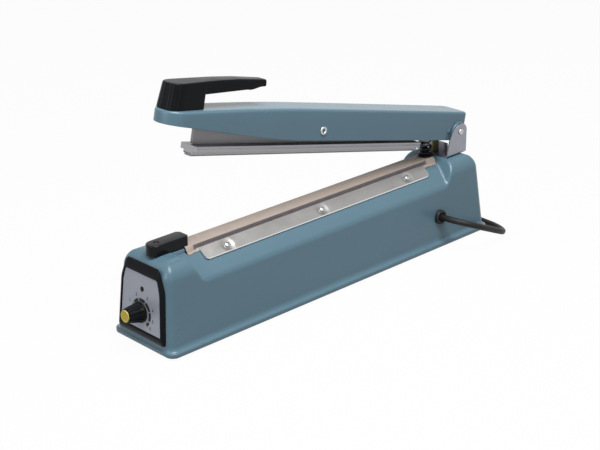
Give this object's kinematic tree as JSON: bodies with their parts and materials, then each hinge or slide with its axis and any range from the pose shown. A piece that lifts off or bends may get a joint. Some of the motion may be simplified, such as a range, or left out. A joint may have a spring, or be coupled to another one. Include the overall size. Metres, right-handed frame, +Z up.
{
  "type": "heat sealer",
  "caption": "Hand impulse heat sealer: blue cast base with timer knob, PTFE-covered sealing platform, sprung lifting arm with press bar, black lever handle and mains cord.",
  "frame": {"origin": "centre of the bounding box at the feet, cord left out", "axes": "+X towards the hinge end, -X towards the timer knob, +Y away from the cord's side, +Z up"},
  "size_m": [0.4625, 0.2107, 0.2374],
  "materials": {
    "blue_enamel": "satin",
    "black_plastic": "satin",
    "soft_black": "matte",
    "zinc_steel": "satin",
    "bright_steel": "bright",
    "aluminium": "satin",
    "silver_label": "satin",
    "beige_cloth": "matte",
    "yellow_plastic": "satin",
    "yellow_zinc": "satin",
    "brass": "satin",
    "silicone": "matte",
    "circuit_green": "satin",
    "copper": "satin",
    "core_steel": "matte",
    "lamp_lens": "gloss"
  },
  "bodies": {
    "base": {"base_housing": "blue_enamel", "bottom_plate": "zinc_steel", "foot_1": "soft_black", "foot_2": "soft_black", "foot_3": "soft_black", "foot_4": "soft_black", "foot_screw_1": "zinc_steel", "foot_screw_2": "zinc_steel", "foot_screw_3": "zinc_steel", "foot_screw_4": "zinc_steel", "panel_bezel": "black_plastic", "panel_label": "silver_label", "indicator_lamp": "lamp_lens", "timer_pot": "zinc_steel", "timer_board": "circuit_green", "transformer_core": "core_steel", "transformer_coil": "copper", "element_platform": "aluminium", "insulation_strip": "beige_cloth", "heating_element": "bright_steel", "element_clamp_front": "brass", "element_clamp_rear": "brass", "ptfe_cloth": "beige_cloth", "clamp_plate_near": "bright_steel", "clamp_plate_far": "bright_steel", "clamp_screw_1": "bright_steel", "clamp_screw_2": "bright_steel", "clamp_screw_3": "bright_steel", "clamp_screw_4": "bright_steel", "clamp_screw_5": "bright_steel", "clamp_screw_6": "bright_steel", "end_cover": "black_plastic", "end_cover_screw": "bright_steel", "hinge_bracket": "zinc_steel", "bracket_screw_1": "zinc_steel", "bracket_screw_2": "zinc_steel", "hinge_pin": "bright_steel", "spring_seat": "black_plastic", "return_spring": "bright_steel", "microswitch": "black_plastic", "switch_bracket": "zinc_steel", "cord_gland": "soft_black", "power_cord": "soft_black", "cord_coil": "soft_black", "cord_tie": "black_plastic", "plug": "soft_black"},
    "timer_dial": {"timer_knob": "black_plastic", "knob_cap": "yellow_plastic"},
    "arm": {"arm_shell": "blue_enamel", "handle": "black_plastic", "handle_screw_1": "zinc_steel", "handle_screw_2": "zinc_steel", "pivot_screw": "bright_steel", "link_pin": "zinc_steel"},
    "beam": {"pressure_beam": "aluminium", "press_bar": "aluminium", "silicone_strip": "silicone"},
    "link": {"switch_link": "yellow_zinc"},
    "lever": {"switch_lever": "bright_steel"}
  },
  "joints": [
    {"name": "arm_hinge", "type": "hinge", "parent": "base", "child": "arm", "pos_m": [0.20175, 0, 0.11], "axis": [0, 1, 0], "range_deg": [-13.25, 0], "stiffness_Nm_per_rad": 6, "springref_deg": 25.78, "deforming": ["return_spring"]},
    {"name": "beam_rock", "type": "hinge", "parent": "arm", "child": "beam", "pos_m": [0.00656, 0, 0.15802], "axis": [0, 1, 0], "range_deg": [-0.5, 0.5], "deforming": ["silicone_strip"]},
    {"name": "timer_knob", "type": "hinge", "parent": "base", "child": "timer_dial", "pos_m": [-0.20355, 0, 0.0351], "axis": [-0.9957, 0, 0.0924], "range_deg": [-140, 140]},
    {"name": "switch_link", "type": "slide", "parent": "base", "child": "link", "axis": [0, 0, 1], "range_m": [-0.00367, 0]},
    {"name": "switch_lever", "type": "hinge", "parent": "base", "child": "lever", "pos_m": [0.17225, 0, 0.05686], "axis": [0, 1, 0], "range_deg": [0, 13]}
  ],
  "couplings": [
    {"joint": "switch_link", "follows": "arm_hinge", "m_per_rad": 0.01586},
    {"joint": "switch_lever", "follows": "arm_hinge", "ratio": -0.98}
  ]
}
